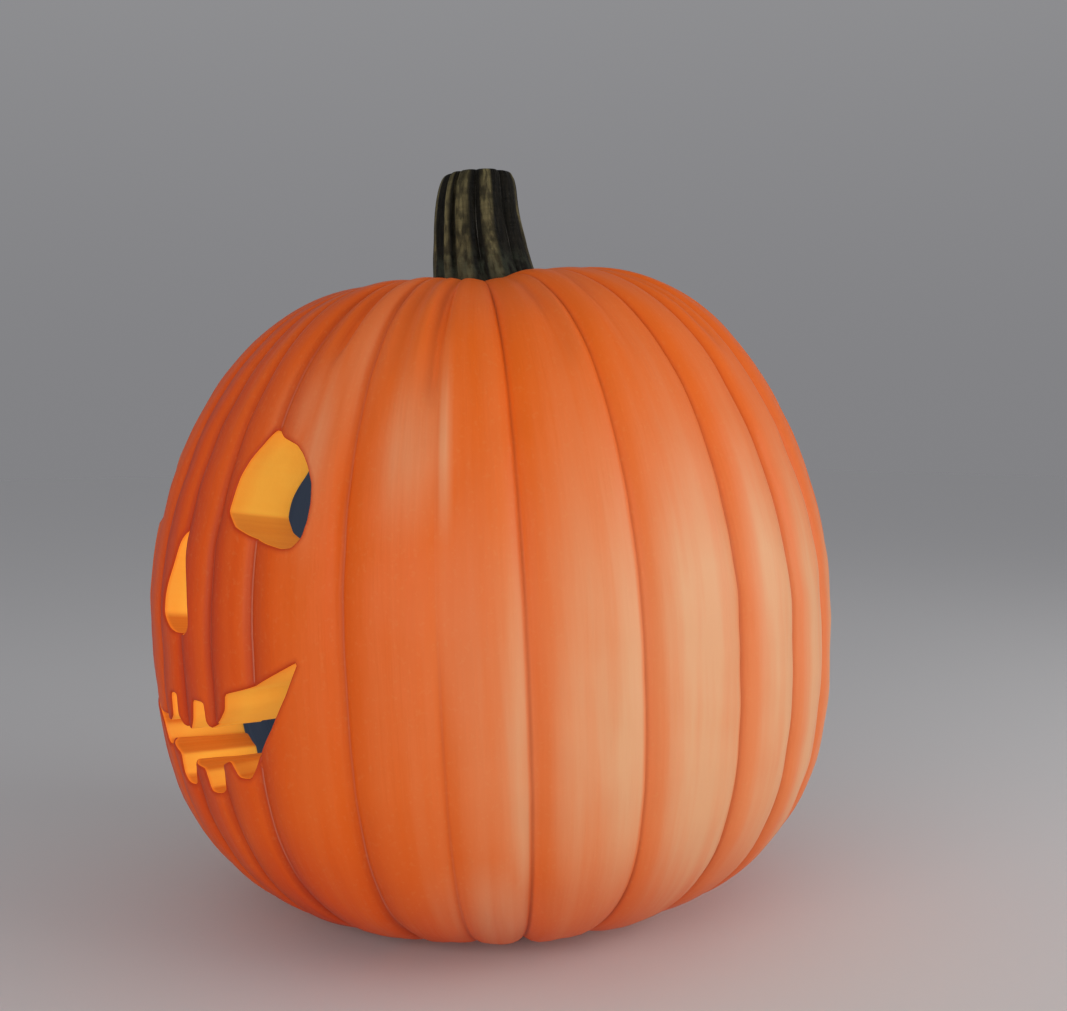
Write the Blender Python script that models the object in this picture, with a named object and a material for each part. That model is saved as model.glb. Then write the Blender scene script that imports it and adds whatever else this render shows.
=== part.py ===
"""Carved pumpkin lantern: one hollow, ribbed fruit with its stem left on, and two eyes, a nose and a
toothed mouth cut through the wall. The face looks along -Y, +Z is up, and the fruit stands at z = 0.

The fruit is shaped about its own axis, which leans a little. An azimuth is counted in degrees about
that axis, from the middle of the face towards the fruit's left (+X), and a height from its base.
"""

import math

import bmesh
import bpy
from mathutils import Vector

# The fruit, in metres. Its profile is two quarter superellipses that meet at the widest level.
HALF_WIDTH = 0.1504
WIDEST_HEIGHT = 0.142
CROWN_RISE = 0.190
CROWN_POWER = 1.75
BASE_DROP = 0.1432
BASE_POWER = 3.0
CROWN_DIP = 0.0503  # flattens the pointed crown into round shoulders
CROWN_DIP_REACH = 0.0903
STEM_WELL = 0.009  # the small hollow that the stem grows from
STEM_WELL_REACH = 0.032
SHOULDER_LIFT = 0.0037  # one shoulder is higher than the other
SHOULDER_AZIMUTH = 168.0
SHOULDER_OVAL = 0.001  # and two facing ones are higher than the two between them
SHOULDER_OVAL_AZIMUTH = 158.0
FOLD_DEPTH = 0.0045  # a sunken fold beside the stem
FOLD_AZIMUTH = 61.0
FOLD_WIDTH = 14.0
FOLD_RADIUS = 0.07
FOLD_REACH = 0.04
LEAN = 2.5
LEAN_AZIMUTH = -35.0
FOOT_CUT = 0.0018  # how much of the lowest ribs the flat foot takes off

# The ribs: widths in degrees, from the groove at FIRST_GROOVE round to the fruit's left.
FIRST_GROOVE = -8.5
RIB_WIDTHS = (9, 9, 9, 16, 13.5, 11.8, 16.6, 17.2, 12.7, 12.9, 12, 15, 17)
RIB_WIDTHS += (13, 16, 14, 18, 13, 15, 17, 14, 16, 13, 15, 12, 12.3)
RIB_STEPS = 4
RING_STEPS = 26
GROOVE_DEPTH = 0.004
GROOVE_POWER = 2.6  # a higher power gives a flatter rib and a sharper groove
GROOVE_FADE_RADIUS = 0.06

# The hollow, scraped to an even wall.
WALL = 0.033
HOLLOW_RISE = 0.101
HOLLOW_DROP = 0.108
HOLLOW_CROWN_POWER = 2.5
HOLLOW_BASE_POWER = 3.0
HOLLOW_SEGMENTS = 32
HOLLOW_RINGS = 18

# The stem. Its foot is sunk in the crown, and it bows away from the fruit's lean.
STEM_BASE_HEIGHT = 0.252
STEM_TOP_HEIGHT = 0.3248
STEM_TOP_RADIUS = 0.0182
STEM_BASE_RADIUS = 0.0242
STEM_FLARE = 0.012
STEM_FLARE_POWER = 4
STEM_END_POWER = 0.15  # a lower power gives a flatter end with a tighter edge
STEM_SHIFT = 0.0018
STEM_BOW = 0.016
STEM_BOW_AT = 0.24  # where it stands furthest over to the leaning side, as a share of the way down
STEM_FIRST_GROOVE = 1.0
STEM_RIB_WIDTHS = (17, 34, 46, 44, 30, 38, 28, 42, 33, 48)
STEM_RIB_STEPS = 4
STEM_RINGS = 14
STEM_GROOVE = 0.13  # share of the radius
STEM_GROOVE_POWER = 3

# The face. Each outline is (azimuth, height) as carved in the skin; the knife goes in towards the axis.
LEFT_EYE = ((12.4, 0.1870), (14.6, 0.2035), (18.5, 0.2155), (24.6, 0.2090), (28.6, 0.1960))
LEFT_EYE += ((28.6, 0.1820), (25.4, 0.1733), (19.6, 0.1765), (14.4, 0.1812))
RIGHT_EYE_SHIFT = -9.0  # the right eye sits this much further round than a mirrored left one
NOSE = ((0.8, 0.1810), (-1.6, 0.1685), (-4.6, 0.1530), (-5.1, 0.1450), (-2.8, 0.1398))
NOSE += ((1.0, 0.1378), (4.0, 0.1392), (4.6, 0.1460), (2.8, 0.1670))
UPPER_LIP = ((27.6, 0.1325), (18.6, 0.1213), (13.2, 0.1180))
UPPER_LIP += ((13.0, 0.1120), (11.6, 0.1080), (8.6, 0.1030), (7.7, 0.1055), (7.4, 0.1133))
UPPER_LIP += ((4.3, 0.1133), (3.4, 0.1045), (2.0, 0.1003), (-0.6, 0.1003), (-1.8, 0.1050), (-1.8, 0.1139))
UPPER_LIP += ((-3.1, 0.1139), (-4.0, 0.1040), (-6.0, 0.1008), (-9.8, 0.1010), (-11.7, 0.1065))
UPPER_LIP += ((-12.0, 0.1165), (-15.8, 0.1165), (-16.6, 0.1125), (-22.0, 0.1210), (-28.5, 0.1335))
LOWER_LIP = ((-26.5, 0.1210), (-21.5, 0.1085), (-15.0, 0.1015), (-12.2, 0.0970))
LOWER_LIP += ((-11.4, 0.0895), (-9.8, 0.0885), (-9.2, 0.0915), (-6.5, 0.0912), (-3.2, 0.0888))
LOWER_LIP += ((-3.8, 0.0800), (-2.6, 0.0772), (-0.5, 0.0766), (0.2, 0.0868), (4.9, 0.0862))
LOWER_LIP += ((5.6, 0.0777), (9.0, 0.0778), (9.3, 0.0886), (12.9, 0.0928), (14.4, 0.0868))
LOWER_LIP += ((16.8, 0.0868), (18.3, 0.0950), (22.0, 0.1070), (25.2, 0.1205))
CURVE_STEPS = 3
CUT_OUTER = 1.32  # where a cut starts and ends, as shares of HALF_WIDTH from the axis
CUT_INNER = 0.55
EYE_CUT_FALL = 0.16  # how far a cut slopes down on its way in
MOUTH_CUT_FALL = 0.05

FOOT_BLOCK = 0.36  # the block that the foot cut takes away
SHARP_EDGE = 40.0


def superellipse(polar, crown_power, base_power):
    """Across and up, 0 to 1, at a polar angle: 0 at the stem, pi at the base. It also tells the crown."""
    in_crown = polar <= math.pi / 2
    turn = max(polar if in_crown else math.pi - polar, 0)
    power = crown_power if in_crown else base_power
    return math.sin(turn) ** (2 / power), math.cos(turn) ** (2 / power), in_crown


def skin_profile(polar):
    """Radius and height of the rib crests at a polar angle."""
    across, up, in_crown = superellipse(polar, CROWN_POWER, BASE_POWER)
    radius = HALF_WIDTH * across
    if not in_crown:
        return radius, WIDEST_HEIGHT - BASE_DROP * up
    dip = CROWN_DIP * math.exp(-((radius / CROWN_DIP_REACH) ** 2))
    well = STEM_WELL * math.exp(-((radius / STEM_WELL_REACH) ** 2))
    return radius, WIDEST_HEIGHT + CROWN_RISE * up - dip - well


def skin_point(azimuth, polar, across_rib):
    """A point of the skin. across_rib runs from 0 at one groove of its rib to 1 at the other."""
    radius, height = skin_profile(polar)
    if polar < math.pi / 2:
        fullness = math.sin(2 * polar)
        height += SHOULDER_LIFT * fullness * math.cos(math.radians(azimuth - SHOULDER_AZIMUTH))
        height += SHOULDER_OVAL * fullness * math.cos(math.radians(2 * (azimuth - SHOULDER_OVAL_AZIMUTH)))
        off_fold = (azimuth - FOLD_AZIMUTH) / FOLD_WIDTH, (radius - FOLD_RADIUS) / FOLD_REACH
        height -= FOLD_DEPTH * math.exp(-off_fold[0] ** 2 - off_fold[1] ** 2)
    groove = GROOVE_DEPTH * abs(2 * across_rib - 1) ** GROOVE_POWER
    groove *= min(1, radius / GROOVE_FADE_RADIUS)
    crest = Vector((*around(azimuth, radius), height))
    middle = Vector((0, 0, WIDEST_HEIGHT))
    return crest + (middle - crest).normalized() * groove


def new_object(name, mesh_bm, material, collection, smooth=True):
    bmesh.ops.recalc_face_normals(mesh_bm, faces=mesh_bm.faces)
    mesh = bpy.data.meshes.new(name)
    mesh_bm.to_mesh(mesh)
    mesh_bm.free()
    mesh.materials.append(material)
    if smooth:
        mesh.shade_smooth()
        mesh.set_sharp_from_angle(angle=math.radians(SHARP_EDGE))
    made = bpy.data.objects.new(name, mesh)
    collection.objects.link(made)
    return made


def new_material(name, colour, roughness):
    material = bpy.data.materials.new(name)
    material.use_nodes = True
    shader = material.node_tree.nodes["Principled BSDF"]
    shader.inputs["Base Color"].default_value = (*colour, 1)
    shader.inputs["Roughness"].default_value = roughness
    shader.inputs["Metallic"].default_value = 0
    material.diffuse_color = (*colour, 1)
    return material


def polar_angle(vert):
    return math.acos(max(-1, min(1, vert.co.z)))


def place_on_rib(vert, first_groove, widths, steps):
    """Azimuth of a unit sphere's vertex once its segments are shared out among ribs, and the place
    across its rib, from 0 at one groove to 1 at the other."""
    segments = len(widths) * steps
    step = round(math.atan2(vert.co.y, vert.co.x) / math.tau * segments) % segments
    rib, part = divmod(step, steps)
    across_rib = part / steps
    return first_groove + sum(widths[:rib]) + across_rib * widths[rib], across_rib


def around(azimuth, radius):
    """The two level coordinates of a point at an azimuth."""
    turn = math.radians(azimuth)
    return Vector((radius * math.sin(turn), -radius * math.cos(turn)))


def make_skin(material, collection):
    """The uncut fruit: a sphere whose segments follow the ribs and grooves."""
    segments = len(RIB_WIDTHS) * RIB_STEPS
    fruit = bmesh.new()
    bmesh.ops.create_uvsphere(fruit, u_segments=segments, v_segments=RING_STEPS, radius=1)
    for vert in fruit.verts:
        azimuth, across_rib = place_on_rib(vert, FIRST_GROOVE, RIB_WIDTHS, RIB_STEPS)
        vert.co = skin_point(azimuth, polar_angle(vert), across_rib)
    return new_object("carved_pumpkin", fruit, material, collection)


def make_hollow(material, collection):
    """The scooped-out inside, smooth and flat-bottomed."""
    hollow = bmesh.new()
    bmesh.ops.create_uvsphere(hollow, u_segments=HOLLOW_SEGMENTS, v_segments=HOLLOW_RINGS, radius=1)
    for vert in hollow.verts:
        turn = math.atan2(vert.co.y, vert.co.x)
        across, up, in_crown = superellipse(polar_angle(vert), HOLLOW_CROWN_POWER, HOLLOW_BASE_POWER)
        radius = (HALF_WIDTH - WALL) * across
        height = WIDEST_HEIGHT + (HOLLOW_RISE if in_crown else -HOLLOW_DROP) * up
        vert.co = (radius * math.cos(turn), radius * math.sin(turn), height)
    return new_object("hollow", hollow, material, collection)


def make_stem(material, collection):
    """The ribbed stem, flared where it grows into the crown and rounded at its dry end."""
    segments = len(STEM_RIB_WIDTHS) * STEM_RIB_STEPS
    stem = bmesh.new()
    bmesh.ops.create_uvsphere(stem, u_segments=segments, v_segments=STEM_RINGS, radius=1)
    for vert in stem.verts:
        azimuth, across_rib = place_on_rib(vert, STEM_FIRST_GROOVE, STEM_RIB_WIDTHS, STEM_RIB_STEPS)
        polar = polar_angle(vert)
        down = (1 - math.cos(polar)) / 2
        swell = STEM_TOP_RADIUS + (STEM_BASE_RADIUS - STEM_TOP_RADIUS) * down
        swell += STEM_FLARE * down**STEM_FLARE_POWER
        groove = STEM_GROOVE * abs(2 * across_rib - 1) ** STEM_GROOVE_POWER
        radius = swell * math.sin(polar) ** STEM_END_POWER * (1 - groove)
        middle = around(LEAN_AZIMUTH + 180, STEM_SHIFT + STEM_BOW * (down - STEM_BOW_AT) ** 2)
        height = STEM_TOP_HEIGHT - (STEM_TOP_HEIGHT - STEM_BASE_HEIGHT) * down
        vert.co = (*(middle + around(azimuth, radius)), height)
    return new_object("stem", stem, material, collection)


def smooth_loop(points):
    """A closed curve through the points, as carved round an eye or a nose."""
    loop = []
    for index, start in enumerate(points):
        before = points[index - 1]
        end = points[(index + 1) % len(points)]
        after = points[(index + 2) % len(points)]
        for step in range(CURVE_STEPS):
            t = step / CURVE_STEPS
            loop.append(
                tuple(
                    0.5 * (2 * p1 + (p2 - p0) * t + (2 * p0 - 5 * p1 + 4 * p2 - p3) * t * t
                           + (3 * p1 - p0 - 3 * p2 + p3) * t**3)
                    for p0, p1, p2, p3 in zip(before, start, end, after)
                )
            )
    return loop


def make_cut(name, outline, fall, material, collection):
    """A plug the shape of an outline, running from outside the skin in towards the axis."""
    cut = bmesh.new()
    reach = CUT_OUTER * HALF_WIDTH
    outer = cut.faces.new([cut.verts.new((*around(azimuth, reach), height)) for azimuth, height in outline])
    inner = bmesh.ops.extrude_face_region(cut, geom=[outer], use_keep_orig=True)["geom"]
    for vert in inner:
        if isinstance(vert, bmesh.types.BMVert):
            vert.co.x *= CUT_INNER / CUT_OUTER
            vert.co.y *= CUT_INNER / CUT_OUTER
    for vert in cut.verts:
        depth = HALF_WIDTH - math.hypot(vert.co.x, vert.co.y)
        vert.co.z -= fall * depth
    return new_object(name, cut, material, collection, smooth=False)


def make_foot_cut(material, collection):
    """Everything below the surface that the fruit stands on."""
    block = bmesh.new()
    bmesh.ops.create_cube(block, size=FOOT_BLOCK)
    bmesh.ops.translate(block, verts=block.verts, vec=(0, 0, -FOOT_BLOCK / 2))
    return new_object("foot_cut", block, material, collection, smooth=False)


def boolean(target, other, operation):
    modifier = target.modifiers.new(other.name, "BOOLEAN")
    modifier.operation = operation
    modifier.object = other
    modifier.solver = "EXACT"
    modifier.material_mode = "TRANSFER"
    other.hide_render = True
    other.display_type = "WIRE"


def new_collection(name):
    collection = bpy.data.collections.new(name)
    bpy.context.scene.collection.children.link(collection)
    return collection


for leftover in list(bpy.data.objects):
    bpy.data.objects.remove(leftover, do_unlink=True)

part = new_collection("carved_pumpkin_lantern")
cutters = new_collection("cutters")
rind = new_material("rind", (0.62, 0.18, 0.05), 0.42)
flesh = new_material("flesh", (0.83, 0.42, 0.09), 0.6)
bark = new_material("stem", (0.05, 0.05, 0.02), 0.55)

# The fruit's own axis: it leans, and its widest level stays over the origin.
lean_way = around(LEAN_AZIMUTH, 1).to_3d()
axis = bpy.data.objects.new("axis", None)
part.objects.link(axis)
axis.rotation_mode = "AXIS_ANGLE"
axis.rotation_axis_angle = (math.radians(LEAN), *Vector((0, 0, 1)).cross(lean_way))
axis.location = -lean_way * WIDEST_HEIGHT * math.sin(math.radians(LEAN))
axis.location.z = -FOOT_CUT

pumpkin = make_skin(rind, part)
hollow = make_hollow(flesh, cutters)
stem = make_stem(bark, cutters)
right_eye = [(RIGHT_EYE_SHIFT - azimuth, height) for azimuth, height in reversed(LEFT_EYE)]
cuts = [
    make_cut("left_eye", smooth_loop(LEFT_EYE), EYE_CUT_FALL, flesh, cutters),
    make_cut("right_eye", smooth_loop(right_eye), EYE_CUT_FALL, flesh, cutters),
    make_cut("nose", smooth_loop(NOSE), EYE_CUT_FALL, flesh, cutters),
    make_cut("mouth", UPPER_LIP + LOWER_LIP, MOUTH_CUT_FALL, flesh, cutters),
]
for piece in (pumpkin, hollow, stem, *cuts):
    piece.parent = axis

boolean(pumpkin, stem, "UNION")
boolean(pumpkin, hollow, "DIFFERENCE")
for cut in cuts:
    boolean(pumpkin, cut, "DIFFERENCE")
boolean(pumpkin, make_foot_cut(rind, cutters), "DIFFERENCE")
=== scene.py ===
"""A carved pumpkin lantern: a hollow, ribbed pumpkin with two eyes, a nose and a toothed mouth cut through
its wall, and the dry stem that it grew on. Metres, +Z up, and the face looks along -Y."""

import math
from bisect import bisect_right

import bmesh
import bpy
from mathutils import Matrix, Vector, noise
from mathutils.kdtree import KDTree


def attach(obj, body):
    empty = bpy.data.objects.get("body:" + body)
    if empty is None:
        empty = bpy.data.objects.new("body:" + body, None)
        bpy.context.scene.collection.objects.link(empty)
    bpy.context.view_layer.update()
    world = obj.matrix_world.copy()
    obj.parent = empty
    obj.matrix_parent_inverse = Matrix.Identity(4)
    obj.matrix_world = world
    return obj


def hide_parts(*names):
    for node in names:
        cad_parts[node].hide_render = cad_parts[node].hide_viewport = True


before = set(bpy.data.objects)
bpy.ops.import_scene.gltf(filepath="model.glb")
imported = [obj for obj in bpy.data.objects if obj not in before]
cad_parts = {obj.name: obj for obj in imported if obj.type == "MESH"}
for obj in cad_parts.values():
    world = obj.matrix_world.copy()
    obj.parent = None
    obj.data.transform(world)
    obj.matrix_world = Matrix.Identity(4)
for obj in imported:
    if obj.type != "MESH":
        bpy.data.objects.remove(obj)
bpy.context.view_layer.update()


# THE CARVED FRUIT. A ripe pumpkin with a waxy, ribbed rind, scraped hollow to an even wall of flesh. The
# face is cut straight through the wall with a thin knife that points at the middle of the fruit, so each
# opening shows its thick cut sides. The fruit leans a little on its uneven base.

# Its shape, about its own axis. An azimuth is counted in degrees from the middle of the face towards the
# fruit's left, a polar angle from the stem, and a height from the base.
HALF_WIDTH = 0.1504
WIDEST_HEIGHT = 0.142
CROWN_RISE = 0.190
CROWN_POWER = 1.75
BASE_DROP = 0.1432
BASE_POWER = 3.0
CROWN_DIP = 0.0503
CROWN_DIP_REACH = 0.0903
RIM_DIP = CROWN_DIP * math.exp(-((HALF_WIDTH / CROWN_DIP_REACH) ** 2))
STEM_WELL = 0.009
STEM_WELL_REACH = 0.032
SHOULDER_LIFT = 0.0037
SHOULDER_AZIMUTH = 168.0
SHOULDER_OVAL = 0.001
SHOULDER_OVAL_AZIMUTH = 158.0
FOLD_DEPTH = 0.0045
FOLD_AZIMUTH = 61.0
FOLD_WIDTH = 14.0
FOLD_RADIUS = 0.07
FOLD_REACH = 0.04
FOLD_RISE = 4  # the fold fades in over the first quarter of the crown's rise
WALL = 0.033
HOLLOW_RISE = 0.101
HOLLOW_DROP = 0.108
HOLLOW_CROWN_POWER = 2.5
HOLLOW_BASE_POWER = 4.0
LEAN = 2.5
LEAN_AZIMUTH = -35.0
FOOT_CUT = 0.0018

# Its ribs, from the groove at FIRST_GROOVE round to the fruit's left.
FIRST_GROOVE = -8.5
RIB_WIDTHS = (9, 9, 9, 16, 13.5, 11.8, 16.6, 17.2, 12.7, 12.9, 12, 15, 17)
RIB_WIDTHS += (13, 16, 14, 18, 13, 15, 17, 14, 16, 13, 15, 12, 12.3)
RIB_STARTS = [sum(RIB_WIDTHS[:rib]) for rib in range(len(RIB_WIDTHS))]
GROOVE_DEPTH = 0.0027
GROOVE_POWER = 3.8
CREASE_DEPTH = 0.0006
CREASE_WIDTH = 0.0010
GROOVE_FADE_RADIUS = 0.08
SOFT_GROOVE = 5
SOFT_GROOVE_STRENGTHS = ((0.10, 0.6), (0.165, 0.02), (0.235, 0.02), (0.262, 0.6))
# Shorter furrows and one low ridge, along the ribs: azimuth, lowest and highest height, depth, half width.
FURROWS = (
    (26.0, 0.235, 0.3, 0.0034, 0.0024),
    (40.0, 0.226, 0.3, 0.0034, 0.0024),
    (46.5, 0.216, 0.3, 0.0034, 0.0024),
    (71.5, 0.229, 0.3, 0.0034, 0.0024),
    (86.0, 0.232, 0.3, 0.0034, 0.0024),
    (113.0, 0.236, 0.3, 0.0034, 0.0024),
    (160.0, 0.232, 0.3, 0.0034, 0.0024),
    (201.0, 0.236, 0.3, 0.0034, 0.0024),
    (246.0, 0.23, 0.3, 0.0034, 0.0024),
    (292.0, 0.235, 0.3, 0.0034, 0.0024),
    (333.0, 0.228, 0.3, 0.0034, 0.0024),
    (49.0, 0.172, 0.236, -0.0008, 0.0012),
    (68.5, 0.03, 0.165, 0.0006, 0.0035),
    (87.0, 0.04, 0.16, 0.0004, 0.0035),
    (152.0, 0.03, 0.15, 0.0006, 0.0035),
    (212.0, 0.04, 0.2, 0.0005, 0.0035),
    (279.0, 0.03, 0.16, 0.0006, 0.0035),
    (310.0, 0.05, 0.2, 0.0004, 0.0035),
)
FURROW_FADE = 0.018
FURROW_SPREAD = 9  # degrees either side that a furrow can reach
UNEVENNESS = 0.0010
UNEVENNESS_ACROSS = 0.026
UNEVENNESS_ALONG = 0.08
RIPPLE = 0.00035
RIPPLE_ACROSS = 0.0085
RIPPLE_ALONG = 0.07
RIPPLE_START = 7  # keeps the ripples out of step with the swells
DIMPLE = 0.0005
DIMPLE_SIZE = 0.015
MIDDLE = Vector((0, 0, WIDEST_HEIGHT))


def around(azimuth, radius):
    """The two level coordinates of a point at an azimuth."""
    turn = math.radians(azimuth)
    return Vector((radius * math.sin(turn), -radius * math.cos(turn)))


def superellipse(polar, crown_power, base_power):
    """Across and up, 0 to 1, at a polar angle. It also tells the crown."""
    in_crown = polar <= math.pi / 2
    turn = max(polar if in_crown else math.pi - polar, 0)
    power = crown_power if in_crown else base_power
    return math.sin(turn) ** (2 / power), math.cos(turn) ** (2 / power), in_crown


def rind_crest(azimuth, polar):
    """Radius and height of the rib crests."""
    across, up, in_crown = superellipse(polar, CROWN_POWER, BASE_POWER)
    radius = HALF_WIDTH * across
    if not in_crown:
        return radius, WIDEST_HEIGHT - RIM_DIP - (BASE_DROP - RIM_DIP) * up
    height = WIDEST_HEIGHT + CROWN_RISE * up
    height -= CROWN_DIP * math.exp(-((radius / CROWN_DIP_REACH) ** 2))
    height -= STEM_WELL * math.exp(-((radius / STEM_WELL_REACH) ** 2))
    fullness = math.sin(2 * polar)
    height += SHOULDER_LIFT * fullness * math.cos(math.radians(azimuth - SHOULDER_AZIMUTH))
    height += SHOULDER_OVAL * fullness * math.cos(math.radians(2 * (azimuth - SHOULDER_OVAL_AZIMUTH)))
    off_fold = (azimuth - FOLD_AZIMUTH) / FOLD_WIDTH, (radius - FOLD_RADIUS) / FOLD_REACH
    fold = FOLD_DEPTH * math.exp(-off_fold[0] ** 2 - off_fold[1] ** 2)
    return radius, height - fold * min(1, radius / FOLD_REACH, FOLD_RISE * up)


def hollow_wall(azimuth, polar):
    """Radius and height of the scraped inside."""
    across, up, in_crown = superellipse(polar, HOLLOW_CROWN_POWER, HOLLOW_BASE_POWER)
    rise = HOLLOW_RISE if in_crown else -HOLLOW_DROP
    return (HALF_WIDTH - WALL) * across, WIDEST_HEIGHT + rise * up


def between(value, steps):
    """Reads a value off a short list of (place, value) steps, easing from one to the next."""
    for (start, first), (end, second) in zip(steps, steps[1:]):
        if value < end:
            t = max(0, (value - start) / (end - start))
            return first + (second - first) * t * t * (3 - 2 * t)
    return steps[-1][1]


def on_rib(azimuth):
    """The rib's number, its width in degrees, and how far across it a point is, from 0 to 1."""
    turn = (azimuth - FIRST_GROOVE) % 360
    rib = bisect_right(RIB_STARTS, turn) - 1
    return rib, RIB_WIDTHS[rib], (turn - RIB_STARTS[rib]) / RIB_WIDTHS[rib]


def groove_strength(groove, height):
    """One groove all but fades out half way up. The others run the whole way."""
    return between(height, SOFT_GROOVE_STRENGTHS) if groove == SOFT_GROOVE else 1.0


def rind_relief(azimuth, radius, height):
    """How far the rind lies under its rib crests."""
    rib, width, across = on_rib(azimuth)
    strength = groove_strength(rib if across < 0.5 else rib + 1, height)
    arm = math.radians(width * min(across, 1 - across)) * radius
    relief = GROOVE_DEPTH * abs(2 * across - 1) ** GROOVE_POWER
    relief = strength * (relief + CREASE_DEPTH * math.exp(-arm / CREASE_WIDTH))
    for furrow_azimuth, lowest, highest, furrow_depth, half_width in FURROWS:
        off = (azimuth - furrow_azimuth + 180) % 360 - 180
        if abs(off) < FURROW_SPREAD and lowest < height < highest:
            off = math.radians(off) * radius / half_width
            fade = min(1, (height - lowest) / FURROW_FADE, (highest - height) / FURROW_FADE)
            relief += furrow_depth * fade * fade * (3 - 2 * fade) * math.exp(-off * off)
    side = Vector((*around(azimuth, HALF_WIDTH), 0))
    swell = noise.noise(side / UNEVENNESS_ACROSS + Vector((0, 0, height / UNEVENNESS_ALONG)))
    ripple = noise.noise(side / RIPPLE_ACROSS + Vector((0, 0, height / RIPPLE_ALONG + RIPPLE_START)))
    dimple = noise.noise((side + Vector((0, 0, height))) / DIMPLE_SIZE)
    relief += UNEVENNESS * (0.5 + swell) + RIPPLE * (0.5 + ripple) + DIMPLE * dimple
    return relief * min(1, radius / GROOVE_FADE_RADIUS) ** 2


def rind_point(azimuth, polar):
    radius, height = rind_crest(azimuth, polar)
    crest = Vector((*around(azimuth, radius), height))
    return crest + (MIDDLE - crest).normalized() * rind_relief(azimuth, radius, height)


SCRAPE = 0.0012
SCRAPE_SIZE = 0.014


def hollow_point(azimuth, polar):
    radius, height = hollow_wall(azimuth, polar)
    place = Vector((*around(azimuth, radius), height))
    outward = (place - MIDDLE).normalized()
    return place + outward * SCRAPE * noise.noise(place / SCRAPE_SIZE)


# The fruit is laid out flat first: x is the way round at full width, and y the way up the profile.
PROFILE_STEPS = 3000
KNIFE_POLARS = (25, 150)
KNIFE_HALVINGS = 40


def flat_x(azimuth):
    return math.radians(azimuth) * HALF_WIDTH


def azimuth_at(x):
    return math.degrees(x / HALF_WIDTH)


class Surface:
    """A surface of the fruit, with its profile measured from the base to the stem."""

    def __init__(self, wall, point):
        self.wall = wall
        self.point = point
        self.polars = [math.pi * (1 - step / PROFILE_STEPS) for step in range(PROFILE_STEPS + 1)]
        self.lengths = [0.0]
        for start, end in zip(self.polars, self.polars[1:]):
            self.lengths.append(self.lengths[-1] + math.dist(wall(0, start), wall(0, end)))

    def polar(self, y):
        at = min(max(bisect_right(self.lengths, y) - 1, 0), PROFILE_STEPS - 1)
        t = (y - self.lengths[at]) / (self.lengths[at + 1] - self.lengths[at])
        return max(0, self.polars[at] + (self.polars[at + 1] - self.polars[at]) * t)

    def y(self, polar):
        place = (1 - polar / math.pi) * PROFILE_STEPS
        at = min(int(place), PROFILE_STEPS - 1)
        return self.lengths[at] + (self.lengths[at + 1] - self.lengths[at]) * (place - at)

    def polar_on_knife(self, azimuth, height, fall):
        """Where a knife at a height at full width, sloping down on its way in, meets the surface."""
        low, high = (math.radians(polar) for polar in KNIFE_POLARS)
        for _ in range(KNIFE_HALVINGS):
            polar = (low + high) / 2
            radius, level = self.wall(azimuth, polar)
            if level + fall * (HALF_WIDTH - radius) > height:
                low = polar
            else:
                high = polar
        return polar

    def place(self, x, y):
        return self.point(azimuth_at(x), self.polar(y))


rind_surface = Surface(rind_crest, rind_point)
hollow_surface = Surface(hollow_wall, hollow_point)

# The face. Each outline is (azimuth, height) as drawn on the rind at full width.
LEFT_EYE = (
    (12.4, 0.1870), (13.5, 0.2005), (14.8, 0.2065), (16.6, 0.2128), (18.2, 0.2200), (20.6, 0.2156),
    (24.2, 0.2120), (25.8, 0.2085), (27.3, 0.2035), (28.5, 0.1970), (28.8, 0.1900), (28.6, 0.1835),
    (27.9, 0.1775), (26.2, 0.1737), (24.4, 0.1732), (21.0, 0.1752), (18.0, 0.1776), (14.4, 0.1812),
)
RIGHT_EYE_SHIFT = -9.0
RIGHT_EYE = tuple((RIGHT_EYE_SHIFT - azimuth, height) for azimuth, height in LEFT_EYE)
NOSE = (
    (0.8, 0.1815), (-0.8, 0.1760), (-1.9, 0.1670), (-3.6, 0.1590), (-4.9, 0.1510), (-5.2, 0.1450),
    (-4.0, 0.1422), (-1.6, 0.1386), (1.0, 0.1378), (3.6, 0.1386), (4.8, 0.1420), (4.2, 0.1520),
    (2.6, 0.1680),
)
UPPER_LIP = (
    (27.6, 0.1325), (18.6, 0.1213), (13.2, 0.1180), (13.0, 0.1120), (11.6, 0.1080), (8.6, 0.1030),
    (7.7, 0.1055), (7.4, 0.1133), (4.3, 0.1133), (3.4, 0.1045), (2.0, 0.1003), (-0.6, 0.1003),
    (-1.8, 0.1050), (-1.6, 0.1139), (-3.4, 0.1139), (-4.0, 0.1040), (-6.0, 0.1010), (-12.6, 0.1022),
    (-14.6, 0.1070), (-15.0, 0.1165), (-18.4, 0.1165), (-19.2, 0.1140), (-22.0, 0.1210), (-28.5, 0.1335),
)
LOWER_LIP = (
    (-26.5, 0.1210), (-21.5, 0.1085), (-15.0, 0.1015), (-12.2, 0.0970), (-11.4, 0.0895), (-9.8, 0.0885),
    (-9.2, 0.0915), (-6.5, 0.0912), (-3.2, 0.0888), (-3.8, 0.0800), (-2.6, 0.0772), (-0.5, 0.0766),
    (0.2, 0.0868), (4.9, 0.0862), (5.6, 0.0777), (9.0, 0.0778), (9.3, 0.0886), (12.9, 0.0928),
    (14.4, 0.0868), (16.8, 0.0868), (17.7, 0.0905), (18.3, 0.0950), (22.0, 0.1070), (25.2, 0.1205),
)
EYE_FALL = 0.16
MOUTH_FALL = 0.05
EYE_CORNER = 0.0013
NOSE_CORNER = 0.006
MOUTH_CORNER = 0.0015
CURVE_STEPS = 8
CORNER_SHARE = 0.48  # a corner takes at most this share of the cuts beside it
SPACING = 0.0013
HAIR = 1e-9  # less than any real length
RIM = 0.0010
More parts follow.
